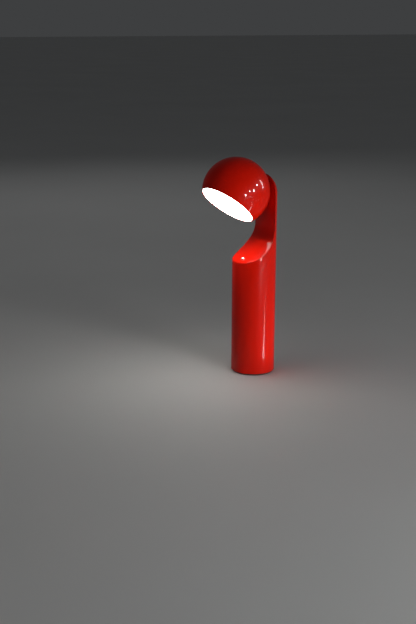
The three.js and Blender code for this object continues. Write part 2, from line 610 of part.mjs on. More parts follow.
// A curved strip behind the slot, carried by the spindle.
function slotShield() {
  const outer = HEAD_INNER_R - 2 * GAP;
  const half = SPINDLE_R + SHIELD_MARGIN;
  const profile = [];
  const steps = 4;
  for (let i = 0; i <= steps; i += 1) {
    const x = half * ((2 * i) / steps - 1);
    profile.push([Math.sqrt(outer ** 2 - x ** 2), x]);
  }
  for (let i = steps; i >= 0; i -= 1) {
    const x = half * ((2 * i) / steps - 1);
    profile.push([Math.sqrt((outer - SHIELD_T) ** 2 - x ** 2), x]);
  }
  profile.push(profile[0]);
  const hoop = turnedX(profile, FINE);
  const reach = 2 * HEAD_R;
  const below = radians(-SHIELD_BELOW);
  const above = radians(SHIELD_ABOVE);
  const wedge = new THREE.Shape([
    new THREE.Vector2(0, 0),
    new THREE.Vector2(reach * Math.cos(below), reach * Math.sin(below)),
    new THREE.Vector2(reach * Math.cos(above), reach * Math.sin(above)),
  ]);
  const hole = turnedY(rod(SPINDLE_R + GAP, 0, reach), MEDIUM);
  place(swivel, 'slot_shield', cut(shared(hoop, prismX(wedge, reach)), hole), BLACK);
}

// ---- Head: Z runs from the mouth through the ball's centre to the crown ----

function ballRadiusAt(radius, drop) {
  return Math.sqrt(radius ** 2 - drop ** 2);
}

function headShell() {
  const profile = [];
  const arc = (radius, from, to) => {
    for (let i = 0; i <= HEAD_STEPS; i += 1) {
      const angle = from + ((to - from) * i) / HEAD_STEPS;
      profile.push([radius * Math.cos(angle), radius * Math.sin(angle)]);
    }
  };
  arc(HEAD_R, -Math.asin(MOUTH_DROP / HEAD_R), Math.PI / 2);
  arc(HEAD_INNER_R, Math.PI / 2, -Math.asin(MOUTH_DROP / HEAD_INNER_R));
  profile[HEAD_STEPS] = [0, HEAD_R];
  profile[HEAD_STEPS + 1] = [0, HEAD_INNER_R];
  profile.push(profile[0]);
  const slotHalf = SPINDLE_R + SLOT_PLAY;
  const outside = HEAD_R + SLOT_DEPTH;
  const inside = HEAD_INNER_R - SLOT_DEPTH;
  const ends = [DROP_MIN, DROP_MAX].map((degrees) => radians(90 - degrees));
  const sector = new THREE.Shape();
  sector.absarc(0, 0, outside, ends[1], ends[0], false);
  sector.absarc(0, 0, inside, ends[0], ends[1], true);
  const slot = prismX(sector, 2 * slotHalf, MEDIUM);
  const rounded = ends.map((angle) => (
    turnedY(rod(slotHalf, inside, outside), MEDIUM).rotateX(angle)
  ));
  place(head, 'head_shell', cut(turnedZ(profile, ROUND), slot, ...rounded), RED);
}

function headBracket() {
  const low = -CARRIER_TOP + GAP;
  const floor = low + BRACKET_T;
  const half = CHEEK_INSIDE + CHEEK_T;
  const cheekR = PIVOT_R - PIN_R / 2;
  const outline = new THREE.Shape();
  outline.moveTo(-CHEEK_FOOT, low);
  outline.lineTo(CHEEK_FOOT, low);
  outline.lineTo(cheekR, 0);
  outline.absarc(0, 0, cheekR, 0, Math.PI, false);
  const middle = box(-CHEEK_INSIDE, CHEEK_INSIDE, -2 * CHEEK_FOOT, 2 * CHEEK_FOOT, floor, 2 * PIVOT_R);
  const pivot = turnedX(rod(TILT_SCREW_R + GAP, -2 * half, 2 * half));
  const holes = RIVETS.map((y) => turnedZ(rod(M3_R + GAP, 2 * low, 0)).translate(0, y, 0));
  place(head, 'head_bracket', cut(prismX(outline, 2 * half), middle, pivot, ...holes), STEEL);
  RIVETS.forEach((y, i) => {
    const rivet = turnedZ(screw(RIVET_HEAD_R, 1, M3_R, BRACKET_T + CARRIER_T + GAP));
    place(head, `bracket_rivet_${i + 1}`, rivet, ALUMINIUM, 0, y, floor + GAP);
  });
}

function lightUnit() {
  const seats = around(3, LUG_CIRCLE, 30);
  const lugLow = FLANGE_Z + GAP;
  const lugIn = LUG_CIRCLE - LUG_HALF;
  const lugOuter = ballRadiusAt(HEAD_INNER_R, lugLow) - GAP;
  const lugReach = Math.sqrt(lugOuter ** 2 - LUG_HALF ** 2);
  const screwHole = turnedZ(rod(M3_R + GAP, -MOUTH_DROP, 0));
  seats.forEach(({ angle, x, y }, i) => {
    const lug = box(lugIn, lugReach, -LUG_HALF, LUG_HALF, lugLow, lugLow + LUG_H).rotateZ(angle);
    place(head, `head_lug_${i + 1}`, cut(lug, screwHole.clone().translate(x, y, 0)), STEEL);
    const fixing = turnedZ(screw(LUG_SCREW_HEAD_R, LUG_SCREW_HEAD_H, M3_R, CARRIER_T + LUG_H));
    place(head, `carrier_screw_${i + 1}`, fixing.rotateX(Math.PI), STEEL, x, y, CARRIER_LOW - GAP);
  });

  const topR = LUG_CIRCLE - CARRIER_INSET;
  const topLow = -CARRIER_TOP - CARRIER_T;
  const wallFoot = lugIn - GAP - 1;
  const rimR = MOUTH_R - 2 * GAP;
  const pan = turnedZ([
    [0, topLow], [topR - 1, topLow], [wallFoot - CARRIER_T, CARRIER_LOW], [rimR, CARRIER_LOW],
    [rimR, FLANGE_Z], [wallFoot, FLANGE_Z], [topR, -CARRIER_TOP], [0, -CARRIER_TOP],
  ], ROUND);
  const holes = seats.map(({ x, y }) => screwHole.clone().translate(x, y, 0));
  const riveted = RIVETS.map((y) => screwHole.clone().translate(0, y, 0));
  const leadHole = turnedZ(rod(WIRE_R + GAP, -MOUTH_DROP, 0)).translate(0, LEAD_Y, 0);
  place(head, 'led_carrier', cut(pan, ...holes, ...riveted, leadHole), ALUMINIUM);

  const boardTop = topLow - GAP;
  const boardLow = boardTop - LED_BOARD_T;
  const ledTop = boardLow - GAP;
  place(head, 'led_board', turnedZ(rod(LED_BOARD_R, boardLow, boardTop), ROUND), WHITE);
  place(head, 'led_chip', turnedZ(rod(LED_R, ledTop - LED_T, ledTop), MEDIUM), PHOSPHOR);

  const coneIn = LED_R + 2;
  const coneOut = lugIn - PIN_R / 2;
  const coneLow = DIFFUSER_TOP + GAP;
  const cone = turnedZ([
    [coneIn, ledTop - CONE_T], [coneOut, coneLow], [rimR, coneLow],
    [rimR, HEADS_LOW], [coneOut, HEADS_LOW], [coneIn, ledTop], [coneIn, ledTop - CONE_T],
  ], ROUND);
  place(head, 'reflector', cone, WHITE);
  const disc = turnedZ(rod(MOUTH_R - GAP, GAP - MOUTH_DROP, DIFFUSER_TOP), FINE);
  place(head, 'diffuser', disc, OPAL);

  const down = radians(DROP);
  const lead = [
    [0, -LEAD_START * Math.sin(down), -LEAD_START * Math.cos(down)],
    [0, LEAD_Y + 2.5, -7], [0, LEAD_Y, -9], [0, LEAD_Y, topLow + GAP / 3],
  ];
  place(head, 'led_wire', wire(lead.map((point) => new THREE.Vector3(...point)), THIN), INSULATION);
}

bodyTube();
scoopPlate();
foot();
powerInlet();
driver();
buttonUnit();
bodyWires();
swivelStack();
tiltPivot();
slotShield();
headShell();
headBracket();
lightUnit();

export default lamp;
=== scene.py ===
from contextlib import contextmanager
import json
import math

import bmesh
import bpy
from mathutils import Matrix, Vector


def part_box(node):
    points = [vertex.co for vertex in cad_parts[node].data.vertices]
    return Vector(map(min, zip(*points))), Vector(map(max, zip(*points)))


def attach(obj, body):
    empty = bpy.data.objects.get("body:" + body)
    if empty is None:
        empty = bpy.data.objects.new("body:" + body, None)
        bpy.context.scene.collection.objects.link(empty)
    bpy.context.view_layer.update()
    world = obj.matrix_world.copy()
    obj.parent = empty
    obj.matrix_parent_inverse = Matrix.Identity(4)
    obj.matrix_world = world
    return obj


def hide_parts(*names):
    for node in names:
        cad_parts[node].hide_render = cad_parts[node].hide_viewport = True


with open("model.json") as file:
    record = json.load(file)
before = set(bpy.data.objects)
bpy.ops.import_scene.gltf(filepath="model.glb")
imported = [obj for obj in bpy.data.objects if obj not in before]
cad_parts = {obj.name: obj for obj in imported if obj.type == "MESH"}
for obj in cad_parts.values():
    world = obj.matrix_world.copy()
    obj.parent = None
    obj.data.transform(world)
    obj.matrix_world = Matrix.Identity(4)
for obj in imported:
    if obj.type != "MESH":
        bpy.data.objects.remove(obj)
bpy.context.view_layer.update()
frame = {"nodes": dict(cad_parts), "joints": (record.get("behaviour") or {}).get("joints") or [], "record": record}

# ---- Sizes, in metres, from the frame and the lamp's own drawing ----

MM = 0.001
HAIR = 0.05 * MM                  # seam between pieces that meet, and margin in tests of place
OVERLAP = 0.1 * MM                # between solids that are joined into one
MERGE = 0.01 * MM                 # vertices closer than this are one
SIDES = 256                       # facets round the body
BALL_SIDES = 192
BORE_SIDES = 96
SMALL_SIDES = 64                  # facets round the slot's ends and the smallest bores

# Body: a tube with a domed top
tube_low, tube_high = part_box("body_tube")
TUBE_R = tube_high[0]
TUBE_WALL = 2 * MM
INNER_R = TUBE_R - TUBE_WALL
TUBE_BOTTOM = tube_low[2]
DOME_Z = 333 * MM                 # height of the dome's centre
RIM_ROUND = 0.8 * MM

# Scoop: a quarter of an ellipse that rises backwards into the stem's flat
STEM_DEPTH = 18 * MM
FACE_Y = TUBE_R - STEM_DEPTH
SCOOP_DROP = 60.5 * MM            # from the dome's centre to where the scoop meets the flat
SCOOP_TOP_Z = DOME_Z - SCOOP_DROP
SCOOP_REACH = 81 * MM
SCOOP_FALL = 64 * MM
SCOOP_FRONT_Y = FACE_Y - SCOOP_REACH
PLATE_T = 2 * MM
PLATE_ROUND = 0.12 * MM
DRILL_REACH = 8 * MM
SPINDLE_HOLE_R = 6.3 * MM

# Foot: a rubber pad with a groove round its underside
foot_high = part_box("foot_pad")[1]
FOOT_R = foot_high[0]
FOOT_TOP_Z = foot_high[2]
FOOT_RIM = 4 * MM
FOOT_GROOVE = 5 * MM
FOOT_GROOVE_DEPTH = 0.6 * MM
FOOT_GROOVE_SLOPE = 1.2 * MM
FOOT_ROUND = 0.35 * MM

# Button: a domed cap that stands square to the scoop
BUTTON_Y = 16 * MM - TUBE_R
BUTTON_R = 3.9 * MM
BUTTON_PLAY = 0.2 * MM
BUTTON_RISE = 2.6 * MM            # crown above the plate
BUTTON_DOME = 1.7 * MM            # crown above the cap's straight side
BUTTON_ROOT = 3.8 * MM            # cap's lower end below the plate
BUTTON_STEPS = 10
BUTTON_ROUND = 0.15 * MM

# Inlet: a round socket at the rear
INLET_Z = 23 * MM
INLET_R = 4.5 * MM
INLET_HOLE_R = 4.8 * MM
INLET_DEPTH = 14 * MM
INLET_ROUND = 0.3 * MM
BEZEL_R = 6.4 * MM
BEZEL_REAR = 0.3 * MM             # faces of the bezel, measured out from the tube
BEZEL_FRONT = 1.8 * MM
SOCKET_R = 2.8 * MM
SOCKET_DEPTH = 8 * MM
CONTACT_R = 1 * MM
CONTACT_SIDES = 48

# Head: a ball with a flat mouth, and a slot for the spindle
HEAD_CENTRE = Vector(next(j["pos_m"] for j in frame["joints"] if j["name"] == "head_tilt"))
HEAD_DROP = math.radians(50.5)    # how far below level the mouth faces
HEAD_SWIVEL = math.radians(6.5)
HEAD_R = 60.8 * MM
HEAD_WALL = 1.5 * MM
HEAD_ROUND = 0.35 * MM
MOUTH_DROP = 30.4 * MM            # from the ball's centre to its mouth
SLOT_ENDS = (math.radians(15), math.radians(85))    # centres of the slot's ends, from the crown
SLOT_HALF = 5.3 * MM
SLOT_STEPS = 48
CUT_REACH = 6 * MM                # how far a cutter passes the wall, inwards and outwards

# Opal disc, just inside the mouth, with a shallow recess in its upper face
DISC_PLAY = 0.15 * MM
DISC_INSET = 0.3 * MM
DISC_T = 2 * MM
DISC_BORDER = 3 * MM
DISC_STEP = 0.8 * MM
DISC_RECESS = 0.5 * MM
DISC_ROUND = 0.25 * MM

# Cover behind the slot, bent round the ball's inside
SHIELD_ENDS = (math.radians(-46), math.radians(15))    # above and below the spindle
SHIELD_PLAY = 0.6 * MM
SHIELD_T = 1 * MM
SHIELD_HALF = 8.4 * MM
SHIELD_STEPS = 40
SHIELD_BORE_R = 5.2 * MM
SHIELD_ROUND = 0.2 * MM

BACKWARDS = Matrix.Rotation(-math.pi / 2, 4, "X")       # turns a piece's top to the rear
SPINDLE_PLACE = Matrix.Translation(HEAD_CENTRE) @ Matrix.Rotation(-HEAD_SWIVEL, 4, "Y")
HEAD_PLACE = SPINDLE_PLACE @ Matrix.Rotation(HEAD_DROP - math.pi / 2, 4, "X")
FACE_PLACE = Matrix.Translation((0, FACE_Y, HEAD_CENTRE.z)) @ BACKWARDS
INLET_PLACE = Matrix.Translation((0, TUBE_R, INLET_Z)) @ BACKWARDS


# ---- Camera ----

CAMERA_TURN = math.radians(60.48)    # to the lamp's left from straight in front
CAMERA_PITCH = math.radians(15.11)
CAMERA_ROLL = math.radians(0.21)
CAMERA_BACK = 1.9645
CAMERA_ASIDE = -0.08376
CAMERA_HEIGHT = 0.6412
CAMERA_LENS = 63.46                  # millimetres, on a sensor 36 wide
CAMERA_SENSOR = 36


def heading(aside):
    """The level direction that lies so many degrees round from the camera's."""
    turn = CAMERA_TURN + math.radians(aside)
    return Vector((math.sin(turn), -math.cos(turn), 0))


def make_camera():
    right = Vector((math.cos(CAMERA_TURN), math.sin(CAMERA_TURN), 0))
    place = heading(0) * CAMERA_BACK + right * CAMERA_ASIDE + Vector((0, 0, CAMERA_HEIGHT))
    data = bpy.data.cameras.new("camera")
    data.sensor_width = CAMERA_SENSOR
    data.lens = CAMERA_LENS
    camera = bpy.data.objects.new("camera", data)
    bpy.context.scene.collection.objects.link(camera)
    camera.matrix_world = (
        Matrix.Translation(place)
        @ Matrix.Rotation(CAMERA_TURN, 4, "Z")
        @ Matrix.Rotation(math.pi / 2 - CAMERA_PITCH, 4, "X")
        @ Matrix.Rotation(CAMERA_ROLL, 4, "Z")
    )
    bpy.context.scene.camera = camera


# ---- Modelling helpers ----

def clear_selection():
    for other in bpy.context.selected_objects:
        other.select_set(False)


def only(obj):
    clear_selection()
    obj.select_set(True)
    bpy.context.view_layer.objects.active = obj


def added(name):
    """Names the primitive that was just added."""
    obj = bpy.context.object
    obj.name = name
    obj.data.name = name
    return obj


def settle(obj, place=None):
    """Puts the object's place into its mesh, so that the object itself sits at the origin."""
    if place is not None:
        obj.matrix_world = place @ obj.matrix_world
    only(obj)
    bpy.ops.object.transform_apply(location=True, rotation=True, scale=True)
    return obj


@contextmanager
def editing():
    """Edit mode on the active object."""
    bpy.ops.object.mode_set(mode="EDIT")
    yield
    bpy.ops.object.mode_set(mode="OBJECT")


def select_all():
    bpy.ops.mesh.select_all(action="SELECT")


def select_where(obj, test, kind="VERT"):
    """In edit mode, selects the vertices, edges or faces whose middle passes the test."""
    bpy.ops.mesh.select_all(action="DESELECT")
    bpy.ops.mesh.select_mode(type=kind)
    mesh = bmesh.from_edit_mesh(obj.data)
    parts = {"VERT": mesh.verts, "EDGE": mesh.edges, "FACE": mesh.faces}[kind]
    for part in parts:
        if kind == "VERT":
            middle = part.co
        elif kind == "EDGE":
            middle = (part.verts[0].co + part.verts[1].co) / 2
        else:
            middle = part.calc_center_median()
        part.select_set(bool(test(middle)))
    bmesh.update_edit_mesh(obj.data)


def extrude(x=0, y=0, z=0):
    bpy.ops.mesh.extrude_region_move(TRANSFORM_OT_translate={"value": (x, y, z)})


def inset(thickness, rise=0):
    """Insets the selected face, then moves what is left of it along Z."""
    bpy.ops.mesh.inset(thickness=thickness)
    if rise:
        bpy.ops.transform.translate(value=(0, 0, rise))


def modify(obj, kind, **values):
    only(obj)
    modifier = obj.modifiers.new(kind.lower(), kind)
    for key, value in values.items():
        setattr(modifier, key, value)
    bpy.ops.object.modifier_apply(modifier=modifier.name)


def boolean(obj, tool, operation="DIFFERENCE"):
    modify(obj, "BOOLEAN", object=tool, operation=operation, solver="EXACT")
    bpy.data.objects.remove(tool)


def soften(obj, width, segments=3, angle=35):
    """Rounds edges sharper than angle by width, then shades everything else smooth."""
    modify(
        obj, "BEVEL", limit_method="ANGLE", angle_limit=math.radians(angle),
        width=width, segments=segments, use_clamp_overlap=False)
    only(obj)
    bpy.ops.object.shade_smooth_by_angle(angle=math.radians(angle))


def cylinder(name, radius, low, high, sides=SIDES):
    clear_selection()
    bpy.ops.mesh.primitive_cylinder_add(
        vertices=sides, radius=radius, depth=high - low, location=(0, 0, (low + high) / 2))
    return settle(added(name))


def bore(obj, radius, low, high, place=None, sides=BORE_SIDES):
    """Cuts a round hole, whose axis is Z before it is put in its place."""
    boolean(obj, settle(cylinder("cutter", radius, low, high, sides), place))


def sphere(name, radius):
    clear_selection()
    bpy.ops.mesh.primitive_uv_sphere_add(
        segments=BALL_SIDES, ring_count=BALL_SIDES // 2, radius=radius, location=(0, 0, 0))
    return settle(added(name))


def capsule(name, radius, bottom):
    """A round bar with a domed top, as the tube is outside and inside."""
    clear_selection()
    bpy.ops.mesh.primitive_uv_sphere_add(
        segments=SIDES, ring_count=SIDES // 2, radius=radius, location=(0, 0, DOME_Z))
    obj = settle(added(name))
    with editing():
        select_where(obj, lambda co: co.z < DOME_Z - HAIR)
        bpy.ops.mesh.delete(type="VERT")
        select_where(obj, lambda co: abs(co.z - DOME_Z) < HAIR, "EDGE")
        extrude(z=bottom - DOME_Z)
        bpy.ops.mesh.edge_face_add()
    return obj


def curved_bar(name, inner, outer, half, ends, steps):
    """A bar of rectangular section, bent round the X axis between two angles from the crown."""
    clear_selection()
    bpy.ops.mesh.primitive_plane_add(
        size=1, location=(0, 0, (inner + outer) / 2), rotation=(math.pi / 2, 0, 0))
    bar = added(name)
    bar.scale = (2 * half, outer - inner, 1)
    settle(bar)
    settle(bar, Matrix.Rotation(-ends[0], 4, "X"))
    with editing():
        select_all()
        bpy.ops.mesh.spin(steps=steps, angle=ends[1] - ends[0], center=(0, 0, 0), axis=(1, 0, 0))
        select_all()
        bpy.ops.mesh.remove_doubles(threshold=MERGE)
        bpy.ops.mesh.normals_make_consistent(inside=False)
    return bar


# ---- Scoop ----

def scoop_line(name):
    """The line of the scoop and of the stem's flat, as a chain of edges in the plane X = 0."""
    clear_selection()
    bpy.ops.mesh.primitive_circle_add(
        vertices=SIDES, radius=1, fill_type="NOTHING",
        location=(0, SCOOP_FRONT_Y, SCOOP_TOP_Z), rotation=(0, math.pi / 2, 0))
    obj = added(name)
    obj.scale = (SCOOP_FALL, SCOOP_REACH, 1)
    settle(obj)
    with editing():
        select_where(obj, lambda co: co.y < SCOOP_FRONT_Y - HAIR or co.z > SCOOP_TOP_Z + HAIR)
        bpy.ops.mesh.delete(type="VERT")
        select_where(obj, lambda co: co.z > SCOOP_TOP_Z - HAIR)
        extrude(z=DOME_Z + 2 * TUBE_R - SCOOP_TOP_Z)
        select_where(obj, lambda co: co.y < SCOOP_FRONT_Y + HAIR)
        extrude(y=-TUBE_R)
    return obj


def widen(obj, width):
    """Draws the outline out along X, evenly to both sides."""
    only(obj)
    with editing():
        select_all()
        bpy.ops.transform.translate(value=(-width / 2, 0, 0))
        extrude(x=width)
        select_all()
        bpy.ops.mesh.normals_make_consistent(inside=False)
    return obj


def scoop_removal():
    """Everything in front of the scoop and the stem's flat."""
    obj = scoop_line("scoop_removal")
    with editing():
        select_where(obj, lambda co: co.z > DOME_Z + 2 * TUBE_R - HAIR)
        extrude(y=SCOOP_FRONT_Y - TUBE_R - FACE_Y)
        select_all()
        bpy.ops.mesh.edge_face_add()
    return widen(obj, 3 * TUBE_R)


def scoop_place(y):
    """The place on the scoop's middle line at y, turned square to the scoop."""
    across = (y - SCOOP_FRONT_Y) / SCOOP_REACH
    down = math.sqrt(1 - across * across)
    slope = math.atan(SCOOP_FALL / SCOOP_REACH * across / down)
    height = SCOOP_TOP_Z - SCOOP_FALL * down
    return Matrix.Translation((0, y, height)) @ Matrix.Rotation(slope, 4, "X")


BUTTON_PLACE = scoop_place(BUTTON_Y)


# ---- Body ----

def make_body():
    body = capsule("lamp_body", TUBE_R, TUBE_BOTTOM)
    boolean(body, capsule("hollow", INNER_R, 0))
    boolean(body, scoop_removal())
    bore(body, INLET_HOLE_R, -TUBE_R / 2, TUBE_R / 2, INLET_PLACE, SMALL_SIDES)
    soften(body, RIM_ROUND, segments=4)
    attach(body, "body")
    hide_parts("body_tube")
    return body


def make_scoop_plate():
    plate = widen(scoop_line("scoop_face"), 2 * TUBE_R)
    modify(plate, "SOLIDIFY", thickness=PLATE_T, offset=1, use_even_offset=True)
    boolean(plate, capsule("inside", INNER_R - HAIR, TUBE_BOTTOM), "INTERSECT")
    bore(plate, BUTTON_R + BUTTON_PLAY, -DRILL_REACH, DRILL_REACH, BUTTON_PLACE)
    bore(plate, SPINDLE_HOLE_R, -DRILL_REACH, DRILL_REACH, FACE_PLACE)
    soften(plate, PLATE_ROUND, segments=2)
    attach(plate, "body")
    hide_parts("scoop_plate")
    return plate


def make_foot():
    foot = cylinder("rubber_foot", FOOT_R, 0, FOOT_TOP_Z)
    with editing():
        select_where(foot, lambda co: co.z < HAIR, "FACE")
        inset(FOOT_RIM)
        inset(FOOT_GROOVE_SLOPE, FOOT_GROOVE_DEPTH)
        inset(FOOT_GROOVE)
        inset(FOOT_GROOVE_SLOPE, -FOOT_GROOVE_DEPTH)
    soften(foot, FOOT_ROUND)
    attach(foot, "body")
    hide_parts("foot_pad")
    return foot


def make_button():
    side_top = BUTTON_RISE - BUTTON_DOME
    curve = (BUTTON_R ** 2 + BUTTON_DOME ** 2) / (2 * BUTTON_DOME)
    edge_angle = math.asin(BUTTON_R / curve)
    cap = cylinder("button_dome", BUTTON_R, -BUTTON_ROOT, side_top, BORE_SIDES)
    with editing():
        select_where(cap, lambda co: co.z > side_top - HAIR, "FACE")
        radius, height = BUTTON_R, side_top
        for step in range(1, BUTTON_STEPS):
            angle = edge_angle * (1 - step / BUTTON_STEPS)
            next_radius = curve * math.sin(angle)
            next_height = BUTTON_RISE - curve + curve * math.cos(angle)
            inset(radius - next_radius, next_height - height)
            radius, height = next_radius, next_height
    soften(cap, BUTTON_ROUND, segments=2, angle=30)
    settle(cap, BUTTON_PLACE)
    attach(cap, "button")
    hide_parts("button_cap")
    return cap


def make_inlet():
    inlet = cylinder("power_inlet", INLET_R, -INLET_DEPTH, BEZEL_REAR + OVERLAP, BORE_SIDES)
    boolean(inlet, cylinder("bezel", BEZEL_R, BEZEL_REAR, BEZEL_FRONT, BORE_SIDES), "UNION")
    bore(inlet, SOCKET_R, -SOCKET_DEPTH, 2 * BEZEL_FRONT)
    contact = cylinder("contact", CONTACT_R, -SOCKET_DEPTH - CONTACT_R, 0, CONTACT_SIDES)
    boolean(inlet, contact, "UNION")
    soften(inlet, INLET_ROUND)
    settle(inlet, INLET_PLACE)
    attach(inlet, "body")
    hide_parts("dc_inlet")
    return inlet


# ---- Head ----

def make_head_shell():
    shell = sphere("ball_shell", HEAD_R)
    with editing():
        select_all()
        bpy.ops.mesh.bisect(
            plane_co=(0, 0, -MOUTH_DROP), plane_no=(0, 0, 1), use_fill=True, clear_inner=True)
    boolean(shell, sphere("ball_hollow", HEAD_R - HEAD_WALL))
    inner, outer = HEAD_R - CUT_REACH, HEAD_R + CUT_REACH
    boolean(shell, curved_bar("slot", inner, outer, SLOT_HALF, SLOT_ENDS, SLOT_STEPS))
    for angle in SLOT_ENDS:
        bore(shell, SLOT_HALF, inner, outer, Matrix.Rotation(-angle, 4, "X"), SMALL_SIDES)
    soften(shell, HEAD_ROUND, angle=40)
    settle(shell, HEAD_PLACE)
    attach(shell, "head")
    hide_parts("head_shell")
    return shell


def make_diffuser():
    radius = math.sqrt((HEAD_R - HEAD_WALL) ** 2 - MOUTH_DROP ** 2) - DISC_PLAY
    low = DISC_INSET - MOUTH_DROP
    high = low + DISC_T
    disc = cylinder("opal_disc", radius, low, high, BALL_SIDES)
    with editing():
        select_where(disc, lambda co: co.z > high - HAIR, "FACE")
        inset(DISC_BORDER)
        inset(DISC_STEP, -DISC_RECESS)
    soften(disc, DISC_ROUND)
    settle(disc, HEAD_PLACE)
    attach(disc, "head")
    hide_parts("diffuser")
    return disc


def make_slot_shield():
    outer = HEAD_R - HEAD_WALL - SHIELD_PLAY
    shield = curved_bar(
        "slot_cover", outer - SHIELD_T, outer, SHIELD_HALF, SHIELD_ENDS, SHIELD_STEPS)
    bore(shield, SHIELD_BORE_R, outer - CUT_REACH, outer + CUT_REACH, sides=SMALL_SIDES)
    soften(shield, SHIELD_ROUND, segments=2)
    settle(shield, SPINDLE_PLACE @ BACKWARDS)
    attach(shield, "swivel")
    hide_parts("slot_shield")
    return shield


# ---- Shader groups, shared by several materials ----

FLOAT, VECTOR = "NodeSocketFloat", "NodeSocketVector"


def group(name, setting, start, result):
    """A node group that takes a vector and one setting, and gives one value."""
    tree = bpy.data.node_groups.new(name, "ShaderNodeTree")
    tree.interface.new_socket(name="Vector", in_out="INPUT", socket_type=VECTOR)
    kind = FLOAT if isinstance(start, float) else VECTOR
    tree.interface.new_socket(name=setting, in_out="INPUT", socket_type=kind).default_value = start
    tree.interface.new_socket(name=result, in_out="OUTPUT", socket_type=FLOAT)
    given, out = tree.nodes.new("NodeGroupInput"), tree.nodes.new("NodeGroupOutput")
    return tree, given.outputs["Vector"], given.outputs[setting], out.inputs[result]


def node(tree, kind, inputs=(), **settings):
    """A node with its settings, then its inputs: a value is set and a socket is linked."""
    made = tree.nodes.new(kind)
    for key, value in settings.items():
        setattr(made, key, value)
    for key, value in dict(inputs).items():
        if isinstance(value, bpy.types.NodeSocket):
            tree.links.new(value, made.inputs[key])
        else:
            made.inputs[key].default_value = value
    return made


def clouds_group():
    """Slow variation, from 0 to 1, for tone and gloss."""
    tree, vector, scale, out = group("clouds", "Scale", 20.0, "Mask")
    noise = node(tree, "ShaderNodeTexNoise", {
        "Vector": vector, "Scale": scale, "Detail": 3.0, "Roughness": 0.55})
    ramp = node(tree, "ShaderNodeMapRange", {
        "Value": noise.outputs["Fac"], "From Min": 0.3, "From Max": 0.7})
    tree.links.new(ramp.outputs["Result"], out)
    return tree


def grain_group():
    """Fine close grain, as moulding, casting and spraying leave it."""
    tree, vector, scale, out = group("grain", "Scale", 900.0, "Height")
    noise = node(tree, "ShaderNodeTexNoise", {
        "Vector": vector, "Scale": scale, "Detail": 4.0, "Roughness": 0.6})
    tree.links.new(noise.outputs["Fac"], out)
    return tree


def specks_group():
    """Scattered specks of dust: 1 on a speck and 0 between them."""
    tree, vector, scale, out = group("specks", "Scale", 260.0, "Mask")
    cells = node(tree, "ShaderNodeTexVoronoi", {
        "Vector": vector, "Scale": scale, "Randomness": 1.0})
    dot = node(tree, "ShaderNodeMapRange", {
        "Value": cells.outputs["Distance"],
        "From Min": 0.05, "From Max": 0.11, "To Min": 1.0, "To Max": 0.0})
    some = node(tree, "ShaderNodeMapRange", {
        "Value": cells.outputs["Color"], "From Min": 0.62, "From Max": 0.66})
    both = node(tree, "ShaderNodeMath", {
        0: dot.outputs["Result"], 1: some.outputs["Result"]}, operation="MULTIPLY")
    tree.links.new(both.outputs["Value"], out)
    return tree


def hairlines_group():
    """Fine parallel lines, drawn out along one axis by the scale given for each."""
    tree, vector, stretch, out = group("hairlines", "Stretch", (1.0, 1.0, 1.0), "Mask")
    drawn = node(tree, "ShaderNodeVectorMath", {0: vector, 1: stretch}, operation="MULTIPLY")
    noise = node(tree, "ShaderNodeTexNoise", {
        "Vector": drawn.outputs["Vector"], "Scale": 1.0, "Detail": 3.0, "Roughness": 0.6})
    tree.links.new(noise.outputs["Fac"], out)
    return tree


GROUPS = {
    "clouds": clouds_group(),
    "grain": grain_group(),
    "specks": specks_group(),
    "hairlines": hairlines_group(),
}


def effect(tree, name, **settings):
    """A shared effect, fed with the piece's own coordinates."""
    place = node(tree, "ShaderNodeTexCoord").outputs["Object"]
    made = node(tree, "ShaderNodeGroup", {"Vector": place, **settings}, node_tree=GROUPS[name])
    return made.outputs[0]


def blend_colours(tree, mask, first, second):
    """From the first colour to the second by the mask. Either may come from another node."""
    first, second = (
        colour if isinstance(colour, bpy.types.NodeSocket) else (*colour, 1.0)
        for colour in (first, second))
    # A Mix node set to colours has its factor at 0, its colours at 6 and 7, and its result at 2.
    mix = node(tree, "ShaderNodeMix", {0: mask, 6: first, 7: second}, data_type="RGBA")
    return mix.outputs[2]


def between(tree, mask, low, high):
    """The mask, from 0 to 1, drawn out from low to high."""
    made = node(tree, "ShaderNodeMapRange", {"Value": mask, "To Min": low, "To Max": high})
    return made.outputs["Result"]


def material(name, **sockets):
    """A new material, with the shader's sockets named with _ for each space."""
    made = bpy.data.materials.new(name)
    made.use_nodes = True
    inputs = made.node_tree.nodes["Principled BSDF"].inputs
    for key, value in sockets.items():
        inputs[key.replace("_", " ")].default_value = value
    return made, made.node_tree, inputs


def bump(tree, inputs, height, strength, distance):
    made = node(tree, "ShaderNodeBump", {
        "Height": height, "Strength": strength, "Distance": distance})
    tree.links.new(made.outputs["Normal"], inputs["Normal"])


# ---- Materials ----

# A pair is the two tones that a finish drifts between.
RED = ((0.66, 0.0085, 0.0012), (0.625, 0.0070, 0.0010))
RED_LINE = (0.30, 0.0010, 0.0004)
DUSTY_RED = (0.75, 0.62, 0.55)
OPAL = ((0.9, 0.9, 0.88), (0.94, 0.94, 0.92))
OPAL_GLOW = ((1.0, 0.965, 0.91), (1.0, 0.975, 0.93))
RUBBER = ((0.012, 0.012, 0.012), (0.025, 0.024, 0.023))
FLOOR_TONES = ((0.70, 0.70, 0.69), (0.66, 0.66, 0.65))
LINE_DEPTH = 0.05 * MM
GRAIN_DEPTH = 0.1 * MM


